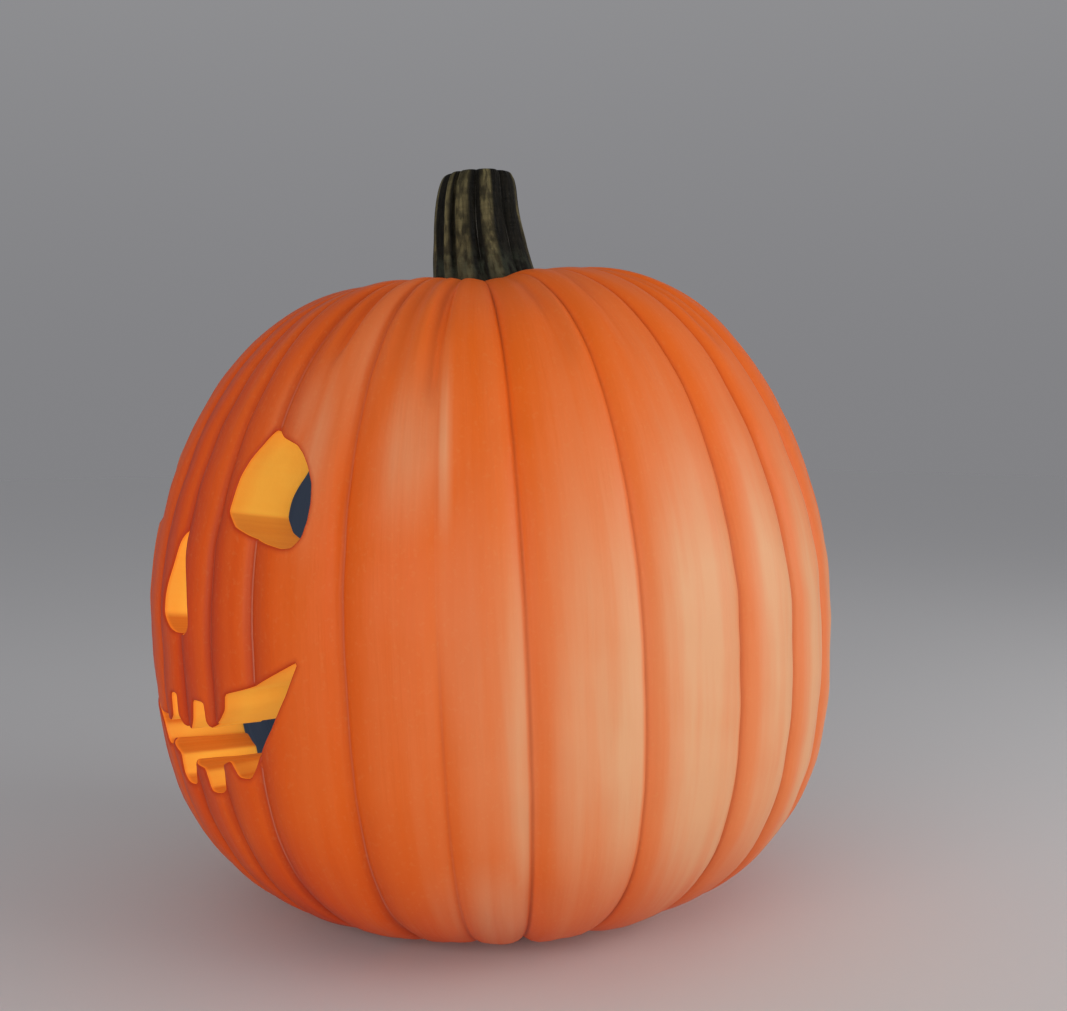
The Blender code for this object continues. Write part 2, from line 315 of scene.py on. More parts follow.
INNER_RIM = 0.0008
RIM_STEPS = 4
WALL_STEPS = 8
INNER_RIM_STEPS = 3
KNIFE_WAVER = 0.0005
KNIFE_WAVER_SIZE = 0.011
WELD = 1e-5  # points closer than this are joined


def cornered(points, reach):
    """A closed run of straight cuts with small round corners. Where the cuts are short, it is a curve."""
    loop = []
    for index, corner in enumerate(points):
        ways = points[index - 1] - corner, points[(index + 1) % len(points)] - corner
        start, end = (corner + way * min(CORNER_SHARE, reach / way.length) for way in ways)
        for step in range(CURVE_STEPS + 1):
            t = step / CURVE_STEPS
            loop.append(start * (1 - t) ** 2 + corner * 2 * t * (1 - t) + end * t * t)
    return loop


def evenly(points, spacing):
    """The same closed line with its points at one spacing, counter-clockwise."""
    if sum(a.cross(b) for a, b in zip(points, points[1:] + points[:1])) < 0:
        points = points[::-1]
    ends = points[1:] + points[:1]
    total = sum((end - start).length for start, end in zip(points, ends))
    count = round(total / spacing)
    loop, walked, due = [], 0.0, 0.0
    for start, end in zip(points, ends):
        length = (end - start).length
        while due < walked + length - HAIR and len(loop) < count:
            loop.append(start.lerp(end, (due - walked) / length))
            due += total / count
        walked += length
    return loop


def outward_ways(loop):
    """The way out of a counter-clockwise loop at each of its points."""
    ways = []
    for index in range(len(loop)):
        along = (loop[(index + 1) % len(loop)] - loop[index - 1]).normalized()
        ways.append(Vector((along.y, -along.x)))
    return ways


class Opening:
    """One opening of the face: its outline laid flat on the rind and on the inside, point by point."""

    def __init__(self, outline, fall, corner):
        on_rind = []
        for azimuth, height in outline:
            polar = rind_surface.polar_on_knife(azimuth, height, fall)
            on_rind.append(Vector((flat_x(azimuth), rind_surface.y(polar))))
        self.rind = evenly(cornered(on_rind, corner), SPACING)
        self.hollow = []
        for point in self.rind:
            azimuth = azimuth_at(point.x)
            radius, height = rind_crest(azimuth, rind_surface.polar(point.y))
            height += fall * (HALF_WIDTH - radius)
            polar = hollow_surface.polar_on_knife(azimuth, height, fall)
            self.hollow.append(Vector((point.x, hollow_surface.y(polar))))
        self.rind_ways = outward_ways(self.rind)
        self.hollow_ways = outward_ways(self.hollow)
        self.rind_rim = [point + way * RIM for point, way in zip(self.rind, self.rind_ways)]
        self.hollow_rim = [point + way * INNER_RIM for point, way in zip(self.hollow, self.hollow_ways)]


openings = [
    Opening(LEFT_EYE, EYE_FALL, EYE_CORNER),
    Opening(RIGHT_EYE, EYE_FALL, EYE_CORNER),
    Opening(NOSE, EYE_FALL, NOSE_CORNER),
    Opening(UPPER_LIP + LOWER_LIP, MOUTH_FALL, MOUTH_CORNER),
]

# Each surface is a flat sheet, close-meshed over the face, that the openings are cut from.
FACE_REACH = 41.0
FACE_STEP = 0.6
FACE_LOW = 0.066
FACE_HIGH = 0.226
FACE_ROW = 0.0015
RIB_COLUMNS = 12
RIB_CROWDING = 0.75
OTHER_ROWS = 32
HOLLOW_FACE_STEP = 0.9
HOLLOW_FACE_ROW = 0.0021
HOLLOW_RIB_COLUMNS = 6
HOLLOW_OTHER_ROWS = 16
CLEARANCE = 0.00115
FILL_REACH = 8 * CLEARANCE


def sheet_columns(face_step, rib_columns):
    """Where the columns stand, from a groove near the back all the way round to it."""
    ribs = [((FIRST_GROOVE + turn + 180) % 360 - 180, width) for turn, width in zip(RIB_STARTS, RIB_WIDTHS)]
    columns = []
    for start, width in sorted(ribs):
        in_face = abs(start + width / 2) < FACE_REACH
        count = round(width / face_step) if in_face else rib_columns
        crowding = 0 if in_face else RIB_CROWDING
        for step in range(count):
            t = step / count
            t -= crowding * math.sin(math.tau * t) / math.tau
            columns.append(flat_x(start + width * t))
    return columns + [columns[0] + flat_x(360)]


def sheet_rows(surface, face_row, other_rows):
    """How far up the profile the rows lie, from the base to the stem."""
    low, high = (surface.y(surface.polar_on_knife(0, height, 0)) for height in (FACE_LOW, FACE_HIGH))
    face_rows = round((high - low) / face_row)
    top = surface.lengths[-1]
    rows = [low * step / other_rows for step in range(other_rows)]
    rows += [low + (high - low) * step / face_rows for step in range(face_rows)]
    return rows + [high + (top - high) * step / other_rows for step in range(other_rows + 1)]


def inside(point, loop):
    """True if a point is inside a closed line."""
    found = False
    for start, end in zip(loop, loop[1:] + loop[:1]):
        if (start.y > point.y) != (end.y > point.y):
            if point.x < start.x + (end.x - start.x) * (point.y - start.y) / (end.y - start.y):
                found = not found
    return found


def main_part(faces):
    """The faces that hang together with the first one."""
    found = {faces[0]}
    edge_of_found = [faces[0]]
    while edge_of_found:
        face = edge_of_found.pop()
        for edge in face.edges:
            for other in edge.link_faces:
                if other not in found:
                    found.add(other)
                    edge_of_found.append(other)
    return found


def cut_sheet(shell, columns, rows, outlines):
    """A flat sheet with the openings cut out. It gives each opening's ring of points, in order."""
    before = set(shell.verts)
    bmesh.ops.create_grid(shell, x_segments=len(columns) - 1, y_segments=len(rows) - 1, size=0.5)
    sheet = [vert for vert in shell.verts if vert not in before]
    for vert in sheet:
        column = round((vert.co.x + 0.5) * (len(columns) - 1))
        row = round((vert.co.y + 0.5) * (len(rows) - 1))
        vert.co = (columns[column], rows[row], 0)
    doomed = set()
    for outline in outlines:
        tree = KDTree(len(outline))
        for index, point in enumerate(outline):
            tree.insert(point.to_3d(), index)
        tree.balance()
        low_x, high_x = (pick(point.x for point in outline) for pick in (min, max))
        low_y, high_y = (pick(point.y for point in outline) for pick in (min, max))
        for vert in sheet:
            if not (low_x - CLEARANCE < vert.co.x < high_x + CLEARANCE):
                continue
            if not (low_y - CLEARANCE < vert.co.y < high_y + CLEARANCE):
                continue
            if tree.find(vert.co)[2] < CLEARANCE or inside(vert.co, outline):
                doomed.update(vert.link_faces)
    bmesh.ops.delete(shell, geom=list(doomed), context="FACES")
    pinched = True
    while pinched:
        faces = [face for face in shell.faces if face.verts[0] not in before]
        kept = main_part(faces)
        bmesh.ops.delete(shell, geom=[face for face in faces if face not in kept], context="FACES")
        pinched = {
            face
            for vert in shell.verts
            if vert not in before and sum(edge.is_boundary for edge in vert.link_edges) > 2
            for face in vert.link_faces
        }
        bmesh.ops.delete(shell, geom=list(pinched), context="FACES")
    rings = []
    for outline in outlines:
        circle = bmesh.ops.create_circle(shell, cap_ends=False, radius=1, segments=len(outline))["verts"]
        ring = sorted(circle, key=lambda vert: math.atan2(vert.co.y, vert.co.x))
        for vert, point in zip(ring, outline):
            vert.co = point.to_3d()
        rings.append(ring)
    for outline, ring in zip(outlines, rings):
        tree = KDTree(len(outline))
        for index, point in enumerate(outline):
            tree.insert(point.to_3d(), index)
        tree.balance()
        edges = [shell.edges.get(pair) for pair in zip(ring, ring[1:] + ring[:1])]
        edges += [
            edge
            for edge in shell.edges
            if edge.is_boundary
            and edge.verts[0] not in before
            and columns[0] < edge.verts[0].co.x < columns[-1]
            and rows[0] < edge.verts[0].co.y < rows[-1]
            and tree.find(edge.verts[0].co)[2] < FILL_REACH
        ]
        bmesh.ops.triangle_fill(shell, use_beauty=True, use_dissolve=False, edges=edges, normal=(0, 0, 1))
    return rings


shell = bmesh.new()
from_groove = shell.verts.layers.float.new("from_groove")
rim = shell.verts.layers.float.new("rim")
depth = shell.verts.layers.float.new("depth")
faces_up = shell.verts.layers.float.new("faces_up")
sun_and_sheen = shell.verts.layers.float.new("sun_and_sheen")
flush_and_shade = shell.verts.layers.float.new("flush_and_shade")
beside_groove = shell.verts.layers.float.new("beside_groove")
grown = shell.verts.layers.float_vector.new("grown")
RIND, FLESH, LINING = range(3)

rind_columns = sheet_columns(FACE_STEP, RIB_COLUMNS)
rind_rows = sheet_rows(rind_surface, FACE_ROW, OTHER_ROWS)
rind_rings = cut_sheet(shell, rind_columns, rind_rows, [opening.rind_rim for opening in openings])
on_rind = set(shell.verts)
hollow_columns = sheet_columns(HOLLOW_FACE_STEP, HOLLOW_RIB_COLUMNS)
hollow_rows = sheet_rows(hollow_surface, HOLLOW_FACE_ROW, HOLLOW_OTHER_ROWS)
cut_sheet(shell, hollow_columns, hollow_rows, [opening.hollow_rim for opening in openings])

cut_line = KDTree(sum(len(opening.rind) for opening in openings))
for index, point in enumerate(point for opening in openings for point in opening.rind):
    cut_line.insert(point.to_3d(), index)
cut_line.balance()
# How far the painted shade round each cut reaches.
RIM_SHADE_REACH = 0.003

# Where the rind is paler: painted sheen and bounce light on the side towards the lights, and a sun-paled
# tone on its back. The places below give azimuth, height, half width in degrees, half height and strength.
PALE_AND_SHEEN_PLACES = (
    (96.0, 0.105, 33.0, 0.085, 1.6),
    (58.9, 0.100, 2.4, 0.070, 1.1),
    (44.0, 0.205, 5.5, 0.026, 0.55),
    (49.2, 0.206, 0.8, 0.026, 0.8),
    (23.0, 0.222, 6.0, 0.016, 0.45),
    (34.0, 0.235, 5.0, 0.030, 0.35),
    (28.0, 0.208, 3.5, 0.030, 0.5),
    (56.0, 0.030, 11.0, 0.028, 0.8),
    (205.0, 0.13, 26.0, 0.07, 1.2),
    (275.0, 0.11, 24.0, 0.08, 1.2),
    (325.0, 0.2, 14.0, 0.03, 0.6),
)
# Where the rind is redder: painted shade on the face and low down beside it, and a ripe flush on the back.
RED_AND_SHADE_PLACES = (
    (-5.0, 0.13, 30.0, 0.15, 1.1),
    (14.0, 0.02, 27.0, 0.06, 1.0),
    (165.0, 0.10, 18.0, 0.10, 0.6),
    (240.0, 0.14, 14.0, 0.10, 0.6),
)
# Painted shade beside each groove: the rind stays deep orange there, and dark red in the redder places.
SHADE_BAND_REACH = 0.010  # the rind stays orange this far on one side of a groove,
LIP_REACH = 0.0018  # and this far on the other


def share_of(places, azimuth, height):
    """How much of a tint a point of the rind has."""
    share = 0.0
    for middle, level, half_width, half_height, strength in places:
        across = ((azimuth - middle + 180) % 360 - 180) / half_width
        share = max(share, strength * math.exp(-(across**2) - ((height - level) / half_height) ** 2))
    return min(1, share)


def mark(vert, x, y, how_deep, up=0.0):
    """Notes on a point of the fruit what its finish needs to know."""
    azimuth = azimuth_at(x)
    rib, width, across = on_rib(azimuth)
    radius = math.hypot(vert.co.x, vert.co.y)
    arms = [math.radians(width * part) * radius for part in (across, 1 - across)]
    shade_band = groove_strength(rib, vert.co.z) * math.exp(-((arms[0] / SHADE_BAND_REACH) ** 2))
    lip = groove_strength(rib + 1, vert.co.z) * math.exp(-((arms[1] / LIP_REACH) ** 2))
    vert[from_groove] = min(arms)
    vert[beside_groove] = max(shade_band, lip) * min(1, radius / GROOVE_FADE_RADIUS) ** 2
    vert[depth] = how_deep
    vert[faces_up] = up
    # Paler places are partly painted sheen, and redder places partly painted shade.
    vert[sun_and_sheen] = share_of(PALE_AND_SHEEN_PLACES, azimuth, vert.co.z)
    vert[flush_and_shade] = share_of(RED_AND_SHADE_PLACES, azimuth, vert.co.z)
    vert[grown] = (*around(azimuth, HALF_WIDTH), y)
    # Nearness to a cut, for the painted shade round each cut.
    vert[rim] = math.exp(-cut_line.find(Vector((x, y, 0)))[2] / RIM_SHADE_REACH)


for face in shell.faces:
    face.material_index = RIND if face.verts[0] in on_rind else LINING
for vert in shell.verts:
    x, y, _ = vert.co
    surface = rind_surface if vert in on_rind else hollow_surface
    vert.co = surface.place(x, y)
    mark(vert, x, y, 0.0 if vert in on_rind else 1.0)


def pull(ring, finish):
    """A new ring of points, joined to the last one by a band of faces."""
    edges = [shell.edges.get(pair) for pair in zip(ring, ring[1:] + ring[:1])]
    made = bmesh.ops.extrude_edge_only(shell, edges=edges)["geom"]
    fresh = {piece for piece in made if isinstance(piece, bmesh.types.BMVert)}
    for face in made:
        if isinstance(face, bmesh.types.BMFace):
            face.material_index = finish
    partners = [[edge.other_vert(vert) for edge in vert.link_edges] for vert in ring]
    return [next(vert for vert in near if vert in fresh) for near in partners]


for opening, ring in zip(openings, rind_rings):
    count = len(ring)
    outer = [rind_surface.place(point.x, point.y) for point in opening.rind]
    inner = [hollow_surface.place(point.x, point.y) for point in opening.hollow]
    knives = [(end - start).normalized() for start, end in zip(outer, inner)]
    lengths = [(end - start).length for start, end in zip(outer, inner)]
    sides = []
    for index in range(count):
        along = outer[(index + 1) % count] - outer[index - 1]
        sides.append(along.cross(knives[index]).normalized())
    for step in range(1, RIM_STEPS + 1):
        turn = math.pi / 2 * step / RIM_STEPS
        ring = pull(ring, RIND if step < RIM_STEPS else FLESH)
        for index, vert in enumerate(ring):
            way = opening.rind_ways[index]
            point = opening.rind[index] + way * RIM * (1 - math.sin(turn))
            deep = RIM * (1 - math.cos(turn))
            vert.co = rind_surface.place(point.x, point.y) + knives[index] * deep
            mark(vert, point.x, point.y, 0.5 * deep / lengths[index], -way.y)
    for step in range(1, WALL_STEPS + 1):
        ring = pull(ring, FLESH)
        for index, vert in enumerate(ring):
            end = lengths[index] - INNER_RIM
            deep = RIM + (end - RIM) * step / WALL_STEPS
            place = outer[index] + knives[index] * deep
            waver = noise.noise(place / KNIFE_WAVER_SIZE) * math.sin(math.pi * step / WALL_STEPS)
            vert.co = place + sides[index] * KNIFE_WAVER * waver
            point = opening.rind[index]
            mark(vert, point.x, point.y, deep / lengths[index], -opening.rind_ways[index].y)
    for step in range(1, INNER_RIM_STEPS + 1):
        turn = math.pi / 2 * step / INNER_RIM_STEPS
        ring = pull(ring, FLESH)
        for index, vert in enumerate(ring):
            point = opening.hollow[index] + opening.hollow_ways[index] * INNER_RIM * (1 - math.cos(turn))
            out = INNER_RIM * (1 - math.sin(turn))
            vert.co = hollow_surface.place(point.x, point.y) - knives[index] * out
            mark(vert, opening.rind[index].x, opening.rind[index].y, 1.0, -opening.rind_ways[index].y)

lean_way = around(LEAN_AZIMUTH, 1).to_3d()
footing = -lean_way * WIDEST_HEIGHT * math.sin(math.radians(LEAN)) - Vector((0, 0, FOOT_CUT))
tilt = Matrix.Rotation(math.radians(LEAN), 4, Vector((0, 0, 1)).cross(lean_way))
stand = Matrix.Translation(footing) @ tilt
bmesh.ops.transform(shell, matrix=stand, verts=shell.verts)
for vert in shell.verts:
    vert.co.z = max(vert.co.z, 0)
bmesh.ops.remove_doubles(shell, verts=shell.verts, dist=WELD)
bmesh.ops.recalc_face_normals(shell, faces=shell.faces)


def node(tree, kind, settings=None, **inputs):
    """A new shader node. An input given as a socket is linked, and any other is set."""
    made = tree.nodes.new("ShaderNode" + kind)
    for name, value in (settings or {}).items():
        setattr(made, name, value)
    for name, value in inputs.items():
        socket = made.inputs[name.replace("_", " ")]
        if isinstance(value, bpy.types.NodeSocket):
            tree.links.new(value, socket)
        else:
            socket.default_value = value
    return made


def sum_of(tree, operation, *values, clamp=False):
    """The result of a Math node."""
    made = tree.nodes.new("ShaderNodeMath")
    made.operation = operation
    made.use_clamp = clamp
    for socket, value in zip(made.inputs, values):
        if isinstance(value, bpy.types.NodeSocket):
            tree.links.new(value, socket)
        else:
            socket.default_value = value
    return made.outputs[0]


def times(tree, value, share, clamp=False):
    """A value times a number or another value."""
    return sum_of(tree, "MULTIPLY", value, share, clamp=clamp)


def times_plus(tree, value, share, base, clamp=False):
    """A value times a number, on top of a base."""
    return sum_of(tree, "MULTIPLY_ADD", value, share, base, clamp=clamp)


def eased(tree, value, start, end, first=0.0, last=1.0):
    """A value read from start to end and eased to run from first to last."""
    return node(
        tree,
        "MapRange",
        {"interpolation_type": "SMOOTHSTEP"},
        Value=value,
        From_Min=start,
        From_Max=end,
        To_Min=first,
        To_Max=last,
    ).outputs["Result"]


MIX_COLOUR_INPUTS = (0, 6, 7)
MIX_COLOUR_OUTPUT = 2


def blended(tree, share, first, second):
    """Two colours mixed by a share."""
    made = tree.nodes.new("ShaderNodeMix")
    made.data_type = "RGBA"
    for number, value in zip(MIX_COLOUR_INPUTS, (share, first, second)):
        if isinstance(value, bpy.types.NodeSocket):
            tree.links.new(value, made.inputs[number])
        else:
            made.inputs[number].default_value = (*value, 1)
    return made.outputs[MIX_COLOUR_OUTPUT]


def noted(tree, name, output="Fac"):
    """What was noted on each point of the piece under a name."""
    return node(tree, "Attribute", {"attribute_name": name}).outputs[output]


def new_group(name, inputs, outputs):
    """An empty node group with its sockets, its input node and its output node."""
    group = bpy.data.node_groups.new(name, "ShaderNodeTree")
    for socket, value in inputs.items():
        kind = "NodeSocketVector" if value is None else "NodeSocketFloat"
        made = group.interface.new_socket(socket, in_out="INPUT", socket_type=kind)
        if value is not None:
            made.default_value = value
    for socket in outputs:
        group.interface.new_socket(socket, in_out="OUTPUT", socket_type="NodeSocketFloat")
    return group, group.nodes.new("NodeGroupInput").outputs, group.nodes.new("NodeGroupOutput").inputs


def grouped(tree, group, output, **inputs):
    """One value of a node group placed in a material."""
    return node(tree, "Group", {"node_tree": group}, **inputs).outputs[output]


def clouded(tree, place, scale, detail, edges):
    """Soft clouds all over a piece, with the noise read between two edges."""
    cloud = node(tree, "TexNoise", Vector=place, Scale=scale, Detail=detail)
    return eased(tree, cloud.outputs["Fac"], *edges)


def height_of(tree, place):
    """How high up a place is."""
    return node(tree, "SeparateXYZ", Vector=place).outputs["Z"]


# Streaks drawn out along the way a plant grew. The rind, the cut flesh, the scraped inside and the stem all
# have them, at their own sizes.
STREAK_EDGES = (0.3, 0.7)
STREAK_SIZES = {"Vector": None, "Across": 100.0, "Along": 8.0, "Detail": 3.0}
long_streaks, given, put = new_group("long_streaks", STREAK_SIZES, ("Mask",))
drawn_out = node(long_streaks, "CombineXYZ", X=given["Across"], Y=given["Across"], Z=given["Along"])
stretched = node(long_streaks, "VectorMath", {"operation": "MULTIPLY"})
long_streaks.links.new(given["Vector"], stretched.inputs[0])
long_streaks.links.new(drawn_out.outputs[0], stretched.inputs[1])
streak = node(long_streaks, "TexNoise", Vector=stretched.outputs[0], Scale=1.0, Detail=given["Detail"])
long_streaks.links.new(eased(long_streaks, streak.outputs["Fac"], *STREAK_EDGES), put["Mask"])

# Fine pores and specks, on the rind, the cut flesh and the scraped inside.
PORE_EDGES = (0.56, 0.72)
fine_grain, given, put = new_group("fine_grain", {"Vector": None, "Scale": 600.0}, ("Mask", "Height"))
pore = node(fine_grain, "TexNoise", Vector=given["Vector"], Scale=given["Scale"], Detail=3.0)
fine_grain.links.new(eased(fine_grain, pore.outputs["Fac"], *PORE_EDGES), put["Mask"])
fine_grain.links.new(pore.outputs["Fac"], put["Height"])


def new_material(name, **settings):
    """A material with its shader's constant values set, its node tree and its shader."""
    material = bpy.data.materials.new(name)
    material.use_nodes = True
    shader = material.node_tree.nodes["Principled BSDF"]
    for socket, value in settings.items():
        shader.inputs[socket.replace("_", " ")].default_value = value
    return material, material.node_tree, shader


def wire(tree, shader, **sockets):
    """Links what varies over the surface to the shader."""
    for name, socket in sockets.items():
        tree.links.new(socket, shader.inputs[name.replace("_", " ")])


# The rind: deep orange, paler where the sun reached it and in painted sheen on the side towards the lights,
# redder in a ripe flush and in painted shade by the face and low down, with painted shade in the grooves
# and round each cut and a painted glint in each crease, under a dull wax.
# The paler tone also paints sheen, and the red also paints shade. The groove colour and the cut edge colour
# are painted shade, and the crease colour is a painted glint.
RIND_DEEP = (0.80, 0.128, 0.005)
RIND_PALE_AND_SHEEN = (0.77, 0.390, 0.200)
RIND_RED_AND_SHADE = (0.66, 0.056, 0.006)
RIND_GROOVE_SHADE = (0.34, 0.024, 0.014)
RIND_CREASE_GLINT = (0.70, 0.300, 0.200)
RIND_SPECK = (0.8, 0.4, 0.15)
RIND_CUT_EDGE_SHADE = (0.50, 0.040, 0.006)
# How much each thing counts, from 0 to 1. The first five make the rind paler.
SUN_AND_SHEEN_SHARE = 0.70
BROAD_STREAK_SHARE = 0.34
THIN_STREAK_SHARE = 0.04
MOTTLE_SHARE = 0.10
OUT_OF_SUN_AND_SHEEN_SHARE = 0.15
BESIDE_GROOVE_SHARE = 0.35
LOW_SHADE_SHARE = 0.6
LOW_SHADE_HEIGHT = 0.075
FLUSH_AND_SHADE_SHARE = 0.85
STREAKS_IN_RED = -0.3
GROOVE_LINE_SHADE_SHARE = 0.2
GROOVE_LINE_SHADE_IN_RED = 0.55
GROOVE_LINE_SHADE_EDGES = (0.0001, 0.0012)
SHADE_BAND_SHARE = 0.8
CREASE_GLINT_SHARE = 0.7
CREASE_GLINT_EDGES = (0.0001, 0.0005)
SPECK_SHARE = 0.07
CUT_EDGE_SHADE_SHARE = 0.85
CUT_EDGE_SHADE_EDGES = (0.4, 1.0)
MOTTLE_EDGES = (0.35, 0.68)
WAX_ROUGHNESS = 0.40
MOTTLE_ROUGHNESS = 0.08
STREAK_ROUGHNESS = 0.06
PORE_RELIEF = 0.12
STREAK_RELIEF = 0.5
rind, tree, shader = new_material("rind", Coat_Weight=0.04, Coat_Roughness=0.38, Specular_IOR_Level=0.12)
place = node(tree, "TexCoord").outputs["Object"]
way_grown = noted(tree, "grown", "Vector")
broad_streaks = grouped(tree, long_streaks, "Mask", Vector=way_grown, Across=105.0, Along=7.0)
thin_streaks = grouped(tree, long_streaks, "Mask", Vector=way_grown, Across=620.0, Along=30.0)
mottle = clouded(tree, place, 21.0, 4.0, MOTTLE_EDGES)
uneven = times_plus(tree, broad_streaks, BROAD_STREAK_SHARE, times(tree, mottle, MOTTLE_SHARE))
uneven = times_plus(tree, thin_streaks, THIN_STREAK_SHARE, uneven)
# The paler places, partly painted sheen, also carry most of the streaks and mottling.
in_sun_or_sheen = times_plus(tree, noted(tree, "sun_and_sheen"), 1 - OUT_OF_SUN_AND_SHEEN_SHARE, OUT_OF_SUN_AND_SHEEN_SHARE)
uneven = times(tree, uneven, in_sun_or_sheen)
pale_and_sheen = times_plus(tree, noted(tree, "sun_and_sheen"), SUN_AND_SHEEN_SHARE, uneven)
# Painted shade: beside each groove the rind stays deep orange instead of pale.
off_shade_band = eased(tree, noted(tree, "beside_groove"), 0.0, 1.0, 1.0, BESIDE_GROOVE_SHARE)
pale_and_sheen = times(tree, pale_and_sheen, off_shade_band, clamp=True)
colour = blended(tree, pale_and_sheen, RIND_DEEP, RIND_PALE_AND_SHEEN)
# Painted shade: redder towards the base, where the fruit curves under.
low = eased(tree, height_of(tree, place), 0.0, LOW_SHADE_HEIGHT, LOW_SHADE_SHARE, 0.0)
# Redder places, a ripe flush and painted shade.
red_and_shade = sum_of(tree, "MAXIMUM", low, times(tree, noted(tree, "flush_and_shade"), FLUSH_AND_SHADE_SHARE))
red_and_shade = times(tree, red_and_shade, times_plus(tree, broad_streaks, STREAKS_IN_RED, 1.0))
colour = blended(tree, red_and_shade, colour, RIND_RED_AND_SHADE)
# Painted shade: a thin dark line along the bottom of each groove.
groove_line_shade = eased(tree, noted(tree, "from_groove"), *GROOVE_LINE_SHADE_EDGES, 1.0, 0.0)
groove_line_shade = times(tree, groove_line_shade, noted(tree, "beside_groove"))
groove_line_shade = times(tree, groove_line_shade, times_plus(tree, red_and_shade, GROOVE_LINE_SHADE_IN_RED, GROOVE_LINE_SHADE_SHARE))
colour = blended(tree, groove_line_shade, colour, RIND_GROOVE_SHADE)
# Painted shade: a dark red band beside each groove in the redder places.
shade_band = times(tree, noted(tree, "beside_groove"), noted(tree, "flush_and_shade"))
colour = blended(tree, times(tree, shade_band, SHADE_BAND_SHARE), colour, RIND_GROOVE_SHADE)
# A painted highlight: a thin pale glint in each crease, in the redder places.
crease_glint = eased(tree, noted(tree, "from_groove"), *CREASE_GLINT_EDGES, CREASE_GLINT_SHARE, 0.0)
crease_glint = times(tree, crease_glint, noted(tree, "flush_and_shade"))
colour = blended(tree, crease_glint, colour, RIND_CREASE_GLINT)
specks = grouped(tree, fine_grain, "Mask", Vector=place, Scale=520.0)
colour = blended(tree, times(tree, specks, SPECK_SHARE), colour, RIND_SPECK)
# Painted shade: the rind darkens to red round each cut.
cut_edge_shade = eased(tree, noted(tree, "rim"), *CUT_EDGE_SHADE_EDGES)
colour = blended(tree, times(tree, cut_edge_shade, CUT_EDGE_SHADE_SHARE), colour, RIND_CUT_EDGE_SHADE)
wax = times_plus(tree, mottle, MOTTLE_ROUGHNESS, WAX_ROUGHNESS)
wax = times_plus(tree, thin_streaks, STREAK_ROUGHNESS, wax)
pores = grouped(tree, fine_grain, "Height", Vector=place, Scale=900.0)
relief = times_plus(tree, pores, PORE_RELIEF, times(tree, thin_streaks, STREAK_RELIEF))
bump = node(tree, "Bump", Strength=0.25, Distance=0.0004, Height=relief).outputs[0]
wire(tree, shader, Base_Color=colour, Roughness=wax, Normal=bump)

# The cut flesh: wet, yellow-orange, and glowing with painted light, as no lamp is inside. It is yellowest
# on the sides that face down; those that face up carry a painted shade of deeper orange, and it is deeper
# orange out by the rind too. Depths run from 0 at the rind to 1 at the hollow.
FLESH_RED = (0.76, 0.190, 0.014)
FLESH_LOW_SILL_SHADE = (0.47, 0.100, 0.010)
FLESH_HIGH_SILL_SHADE = (0.53, 0.165, 0.022)
FLESH_YELLOW = (0.79, 0.425, 0.056)
FLESH_CLOUD = (0.74, 0.27, 0.025)
FLESH_FIBRE = (0.9, 0.50, 0.09)
PAINTED_GLOW = 0.42
SILL_SHADE_EDGES = (0.05, 0.80)
SILL_SHADE_SHARE = 0.9
SILL_SHADE_HEIGHTS = (0.125, 0.165)
RED_DEPTHS = (0.02, 0.40)
RED_SHARE = 0.45
SKIN_DEPTHS = (0.0, 0.06)
SKIN_SHARE = 0.8
CLOUD_EDGES = (0.35, 0.65)
CLOUD_SHARE = 0.18
FIBRE_SHARE = 0.08
flesh, tree, shader = new_material("flesh", Roughness=0.55, IOR=1.33, Emission_Strength=PAINTED_GLOW)
place = node(tree, "TexCoord").outputs["Object"]
how_deep = noted(tree, "depth")
# Painted shade on the cut sides that face up: deeper orange low down, by the mouth, and ochre higher up.
sill_shade = eased(tree, noted(tree, "faces_up"), *SILL_SHADE_EDGES)
way_grown = noted(tree, "grown", "Vector")
fibres = grouped(tree, long_streaks, "Mask", Vector=way_grown, Across=900.0, Along=260.0)
clouds = clouded(tree, place, 55.0, 2.0, CLOUD_EDGES)
by_rind = eased(tree, how_deep, *RED_DEPTHS, RED_SHARE, 0.0)
colour = blended(tree, by_rind, FLESH_YELLOW, FLESH_RED)
colour = blended(tree, times(tree, clouds, CLOUD_SHARE), colour, FLESH_CLOUD)
by_height = eased(tree, height_of(tree, place), *SILL_SHADE_HEIGHTS)
sill_shade_colour = blended(tree, by_height, FLESH_LOW_SILL_SHADE, FLESH_HIGH_SILL_SHADE)
colour = blended(tree, times(tree, sill_shade, SILL_SHADE_SHARE), colour, sill_shade_colour)
colour = blended(tree, eased(tree, how_deep, *SKIN_DEPTHS, SKIN_SHARE, 0.0), colour, FLESH_RED)
colour = blended(tree, times(tree, fibres, FIBRE_SHARE), colour, FLESH_FIBRE)
pores = grouped(tree, fine_grain, "Height", Vector=place, Scale=420.0)
bump = node(tree, "Bump", Strength=0.35, Distance=0.0004, Height=pores).outputs[0]
# The flesh glows in its own colour: painted light, as no lamp is inside.
wire(tree, shader, Base_Color=colour, Emission_Color=colour, Normal=bump)

# The scraped inside: painted slate-dark, a painted deep shade that glows faintly, with the scraper's
# furrows and a few stringy fibres.
LINING_DEEP_SHADE = (0.020, 0.026, 0.040)
LINING_PALER_SHADE = (0.036, 0.046, 0.068)
LINING_SHADE_GLOW = 0.75
SHADE_EDGES = (0.35, 0.65)
SCRAPED_SHARE = 0.3
SCRAPED_PORES = 0.4
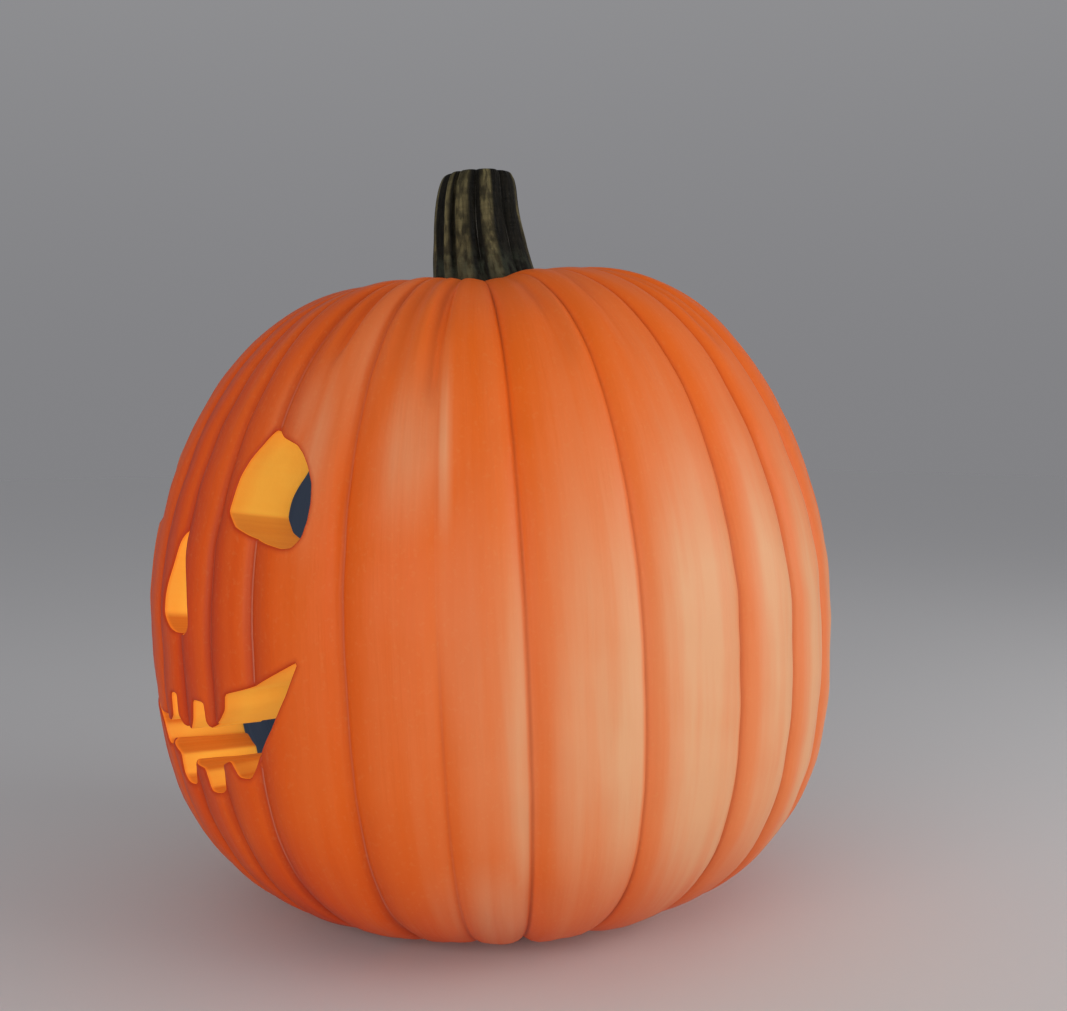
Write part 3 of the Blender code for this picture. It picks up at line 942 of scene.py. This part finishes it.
# The dark slate glows faintly in its own colour: painted shade that holds under any light.
lining, tree, shader = new_material("lining", Roughness=0.8, Emission_Strength=LINING_SHADE_GLOW)
place = node(tree, "TexCoord").outputs["Object"]
way_grown = noted(tree, "grown", "Vector")
scraped = grouped(tree, long_streaks, "Mask", Vector=way_grown, Across=110.0, Along=12.0)
pores = grouped(tree, fine_grain, "Height", Vector=place, Scale=300.0)
shades = clouded(tree, place, 9.0, 2.0, SHADE_EDGES)
paler = times_plus(tree, scraped, SCRAPED_SHARE, shades, clamp=True)
colour = blended(tree, paler, LINING_DEEP_SHADE, LINING_PALER_SHADE)
relief = times_plus(tree, pores, SCRAPED_PORES, scraped)
bump = node(tree, "Bump", Strength=0.5, Distance=0.001, Height=relief).outputs[0]
wire(tree, shader, Base_Color=colour, Emission_Color=colour, Normal=bump)


def piece(name, made, *materials):
    """A finished piece: its mesh, shaded smooth, in an object at the origin."""
    mesh = bpy.data.meshes.new(name)
    made.to_mesh(mesh)
    made.free()
    for material in materials:
        mesh.materials.append(material)
    mesh.shade_smooth()
    found = bpy.data.objects.new(name, mesh)
    bpy.context.scene.collection.objects.link(found)
    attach(found, "root")
    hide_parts("carved_pumpkin")
    return found


pumpkin = piece("carved_shell", shell, rind, flesh, lining)


# THE STEM. The dry stalk that the fruit grew on, left on when it was picked: ten uneven ribs, near-black
# with olive streaks, cut off square at the top and flaring into the crown.
STEM_BASE_HEIGHT = 0.252
STEM_TOP_HEIGHT = 0.3248
STEM_TOP_RADIUS = 0.0182
STEM_BASE_RADIUS = 0.0242
STEM_FLARE = 0.012
STEM_FLARE_POWER = 4
STEM_END_POWER = 0.12
STEM_SHIFT = 0.0018
STEM_BOW = 0.016
STEM_BOW_AT = 0.24
STEM_FIRST_GROOVE = 1.0
STEM_RIB_WIDTHS = (17, 34, 46, 44, 30, 38, 28, 42, 33, 48)
STEM_GROOVE = 0.16
STEM_GROOVE_POWER = 3
STEM_RIB_STEPS = 24
STEM_RINGS = 90
# Olive stripes down it: azimuth and half width in degrees.
OLIVE_STRIPES = (
    (7.0, 7.0), (30.0, 12.5), (67.0, 8.0), (128.0, 9.0), (168.0, 8.0), (214.0, 13.0),
    (262.0, 8.0), (305.0, 12.0), (340.0, 6.0),
)
OLIVE_FILL = 2.5
OLIVE_FALL = 2.2
STEM_BUMPS = 0.0006
STEM_BUMPS_IN = 0.4
STEM_BUMP_ACROSS = 0.0035
STEM_BUMP_ALONG = 0.016

stalk = bmesh.new()
crest = stalk.verts.layers.float.new("crest")
olive = stalk.verts.layers.float.new("olive")
down_stem = stalk.verts.layers.float.new("down_stem")
stem_grown = stalk.verts.layers.float_vector.new("grown")
segments = len(STEM_RIB_WIDTHS) * STEM_RIB_STEPS
bmesh.ops.create_uvsphere(stalk, u_segments=segments, v_segments=STEM_RINGS, radius=1)
for vert in stalk.verts:
    polar = math.acos(max(-1, min(1, vert.co.z)))
    step = round(math.atan2(vert.co.y, vert.co.x) / math.tau * segments) % segments
    rib, part = divmod(step, STEM_RIB_STEPS)
    across = part / STEM_RIB_STEPS
    azimuth = STEM_FIRST_GROOVE + sum(STEM_RIB_WIDTHS[:rib]) + across * STEM_RIB_WIDTHS[rib]
    down = (1 - math.cos(polar)) / 2
    swell = STEM_TOP_RADIUS + (STEM_BASE_RADIUS - STEM_TOP_RADIUS) * down
    swell += STEM_FLARE * down**STEM_FLARE_POWER
    furrow = abs(2 * across - 1) ** STEM_GROOVE_POWER
    end = math.sin(polar) ** STEM_END_POWER
    middle = around(LEAN_AZIMUTH + 180, STEM_SHIFT + STEM_BOW * (down - STEM_BOW_AT) ** 2)
    height = STEM_TOP_HEIGHT - (STEM_TOP_HEIGHT - STEM_BASE_HEIGHT) * down
    side = Vector((*around(azimuth, 1), 0))
    rough = noise.noise(side * swell / STEM_BUMP_ACROSS + Vector((0, 0, height / STEM_BUMP_ALONG)))
    radius = (swell * (1 - STEM_GROOVE * furrow) + STEM_BUMPS * (rough - STEM_BUMPS_IN)) * end
    vert.co = middle.to_3d() + side * radius + Vector((0, 0, height))
    vert[crest] = 1 - furrow
    vert[down_stem] = down
    vert[stem_grown] = side * STEM_TOP_RADIUS + Vector((0, 0, height))
    for stripe, half_width in OLIVE_STRIPES:
        off = abs((azimuth - stripe + 180) % 360 - 180) / half_width
        vert[olive] = max(vert[olive], min(1, max(0, OLIVE_FILL - OLIVE_FALL * off)))
bmesh.ops.transform(stalk, matrix=stand, verts=stalk.verts)
bmesh.ops.recalc_face_normals(stalk, faces=stalk.faces)

# The stem's skin: near-black, with broken olive stripes, a thin painted highlight down each groove, and
# moss and brown scars towards its foot.
STEM_BLACK = (0.0045, 0.0045, 0.004)
STEM_OLIVE = (0.170, 0.145, 0.068)
STEM_FIBRE = (0.2, 0.17, 0.1)
STEM_GROOVE_GLINT = (0.42, 0.40, 0.34)
STEM_MOSS = (0.050, 0.060, 0.042)
STEM_BROWN = (0.060, 0.035, 0.020)
# How much each thing counts. The first three break up the olive, each a share and a base.
STRIPE_STREAKS = (0.6, 0.4)
STRIPE_PATCHES = (0.7, 0.3)
STRIPE_WRINKLES = (0.3, 0.85)
PATCH_EDGES = (0.05, 0.90)
STEM_FIBRE_SHARE = 0.04
STEM_GLINT_CRESTS = (0.0, 0.10)
STEM_GLINT_SHARE = 0.30
MOSS_STARTS = (0.44, 0.58)
MOSS_SHARE = 0.5
BROWN_STARTS = (0.6, 0.75)
BROWN_SHARE = 0.5
FIBRE_RELIEF = 0.6
WRINKLE_RELIEF = 0.7
STEM_ROUGHNESS = 0.42
PATCH_ROUGHNESS = 0.2
stem_skin, tree, shader = new_material("stem_skin", Specular_IOR_Level=0.06)
way_grown = noted(tree, "grown", "Vector")
streaks = grouped(tree, long_streaks, "Mask", Vector=way_grown, Across=420.0, Along=55.0)
thin_streaks = grouped(tree, long_streaks, "Mask", Vector=way_grown, Across=1500.0, Along=140.0)
patches = grouped(tree, long_streaks, "Mask", Vector=way_grown, Across=480.0, Along=170.0, Detail=8.0)
patches = eased(tree, patches, *PATCH_EDGES)
wrinkles = grouped(tree, long_streaks, "Mask", Vector=way_grown, Across=60.0, Along=520.0)
stripe = times(tree, noted(tree, "olive"), times_plus(tree, streaks, *STRIPE_STREAKS))
stripe = times(tree, stripe, times_plus(tree, patches, *STRIPE_PATCHES))
stripe = times(tree, stripe, times_plus(tree, wrinkles, *STRIPE_WRINKLES), clamp=True)
colour = blended(tree, stripe, STEM_BLACK, STEM_OLIVE)
colour = blended(tree, times(tree, thin_streaks, STEM_FIBRE_SHARE), colour, STEM_FIBRE)
# A painted highlight: a thin pale glint down each groove.
edge = eased(tree, noted(tree, "crest"), *STEM_GLINT_CRESTS, STEM_GLINT_SHARE, 0.0)
colour = blended(tree, times(tree, edge, streaks), colour, STEM_GROOVE_GLINT)
moss = eased(tree, noted(tree, "down_stem"), *MOSS_STARTS, 0.0, MOSS_SHARE)
colour = blended(tree, times(tree, moss, patches), colour, STEM_MOSS)
brown = times(tree, eased(tree, noted(tree, "down_stem"), *BROWN_STARTS), patches)
colour = blended(tree, times(tree, brown, BROWN_SHARE), colour, STEM_BROWN)
relief = times_plus(tree, thin_streaks, FIBRE_RELIEF, times_plus(tree, wrinkles, WRINKLE_RELIEF, streaks))
bump = node(tree, "Bump", Strength=0.6, Distance=0.0007, Height=relief).outputs[0]
dryness = times_plus(tree, patches, PATCH_ROUGHNESS, STEM_ROUGHNESS)
wire(tree, shader, Base_Color=colour, Roughness=dryness, Normal=bump)
stem = piece("stem", stalk, stem_skin)


# THE FLOOR. A plain pale floor of one smooth sheet, that the fruit stands on. It is wide enough that its
# far edge is out of sight.
FLOOR_HALF = 6.0
FLOOR_COLOUR = (0.72, 0.72, 0.73, 1)
floor_mesh = bmesh.new()
bmesh.ops.create_grid(floor_mesh, x_segments=1, y_segments=1, size=FLOOR_HALF)
floor_data = bpy.data.meshes.new("floor")
floor_mesh.to_mesh(floor_data)
floor_mesh.free()
pale_floor, tree, shader = new_material("pale_floor", Roughness=0.8, Base_Color=FLOOR_COLOUR)
floor_data.materials.append(pale_floor)
floor = bpy.data.objects.new("floor", floor_data)
bpy.context.scene.collection.objects.link(floor)


# THE LIGHT. A broad soft light to the right of the camera, another just left of it, both low down, and pale
# air all round. The air is as bright as the floor where they meet, so no edge shows between them.
KEY_COLOUR = (1.0, 0.97, 0.94)
FRONT_COLOUR = (1.0, 0.98, 0.96)
AIR_LOW = (0.225, 0.225, 0.236)
AIR_HIGH = (0.31, 0.31, 0.32)
AIR_EDGES = (0.0, 0.6)


def soft_light(name, azimuth, elevation, distance, size, power, colour):
    """A square soft light that looks at the middle of the fruit."""
    data = bpy.data.lights.new(name, "AREA")
    data.size = size
    data.energy = power
    data.color = colour
    lamp = bpy.data.objects.new(name, data)
    rise = math.radians(elevation)
    way = Vector((*around(azimuth, math.cos(rise)), math.sin(rise)))
    lamp.location = stand @ MIDDLE + way * distance
    lamp.rotation_mode = "QUATERNION"
    lamp.rotation_quaternion = (-way).to_track_quat("-Z", "Y")
    bpy.context.scene.collection.objects.link(lamp)


soft_light("key_light", 127.0, 8.0, distance=1.3, size=1.1, power=12.0, colour=KEY_COLOUR)
soft_light("front_light", 32.0, 7.0, distance=1.4, size=1.0, power=10.5, colour=FRONT_COLOUR)

air = bpy.data.worlds.new("air")
air.use_nodes = True
tree = air.node_tree
up = height_of(tree, node(tree, "TexCoord").outputs["Generated"])
air_colour = blended(tree, eased(tree, up, *AIR_EDGES), AIR_LOW, AIR_HIGH)
tree.links.new(air_colour, tree.nodes["Background"].inputs["Color"])
bpy.context.scene.world = air
bpy.context.scene.view_settings.view_transform = "Standard"


# THE CAMERA. It stands level with the crown, to the fruit's left, and looks a little down.
CAMERA_AZIMUTH = 55.0
CAMERA_ELEVATION = 4.498
CAMERA_DISTANCE = 0.5851
CAMERA_LENS = 43.584
CAMERA_AIM = Vector((0, 0, 0.163))
CAMERA_SHIFT = (0.04278, 0.03083)
camera_data = bpy.data.cameras.new("camera")
camera_data.lens = CAMERA_LENS
camera_data.sensor_width = 36.0
camera_data.shift_x, camera_data.shift_y = CAMERA_SHIFT
camera = bpy.data.objects.new("camera", camera_data)
rise = math.radians(CAMERA_ELEVATION)
back = Vector((*around(CAMERA_AZIMUTH, math.cos(rise)), math.sin(rise)))
camera.location = stand @ CAMERA_AIM + back * CAMERA_DISTANCE
camera.rotation_mode = "QUATERNION"
camera.rotation_quaternion = (-back).to_track_quat("-Z", "Y")
bpy.context.scene.collection.objects.link(camera)
bpy.context.scene.camera = camera
